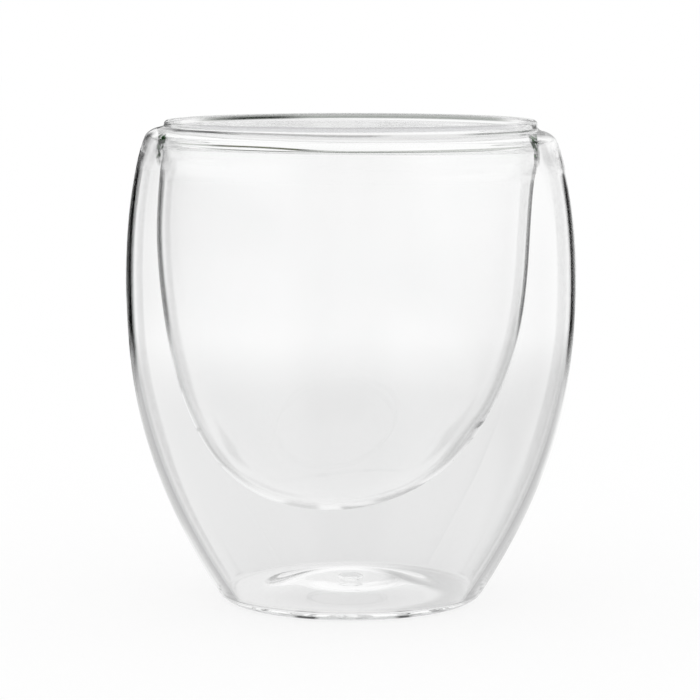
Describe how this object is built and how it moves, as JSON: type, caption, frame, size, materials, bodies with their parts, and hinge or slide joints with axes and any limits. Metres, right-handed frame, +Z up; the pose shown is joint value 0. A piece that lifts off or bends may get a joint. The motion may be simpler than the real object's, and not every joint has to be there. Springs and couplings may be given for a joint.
{
  "type": "double walled glass cup",
  "caption": "Clear handleless drinking cup: a blown bowl fused at its rim inside a rounded outer wall, with still air shut in between to keep the drink hot and the outside cool.",
  "frame": {"origin": "centre of the flat foot ring, in the plane of the table", "axes": "+Z up along the cup's axis of revolution, towards the lip; X and Y lie in the table and are alike"},
  "size_m": [0.09, 0.09, 0.096],
  "materials": {
    "bowl_glass": "clear fire polished borosilicate glass",
    "wall_glass": "clear blown borosilicate glass",
    "weld_glass": "fused borosilicate glass, green where it is thick",
    "seal_glass": "flame closed borosilicate glass with a swirl"
  },
  "bodies": {
    "root": {"inner_bowl": "bowl_glass", "outer_shell": "wall_glass", "rim_weld": "weld_glass", "vent_seal": "seal_glass"}
  },
  "joints": []
}
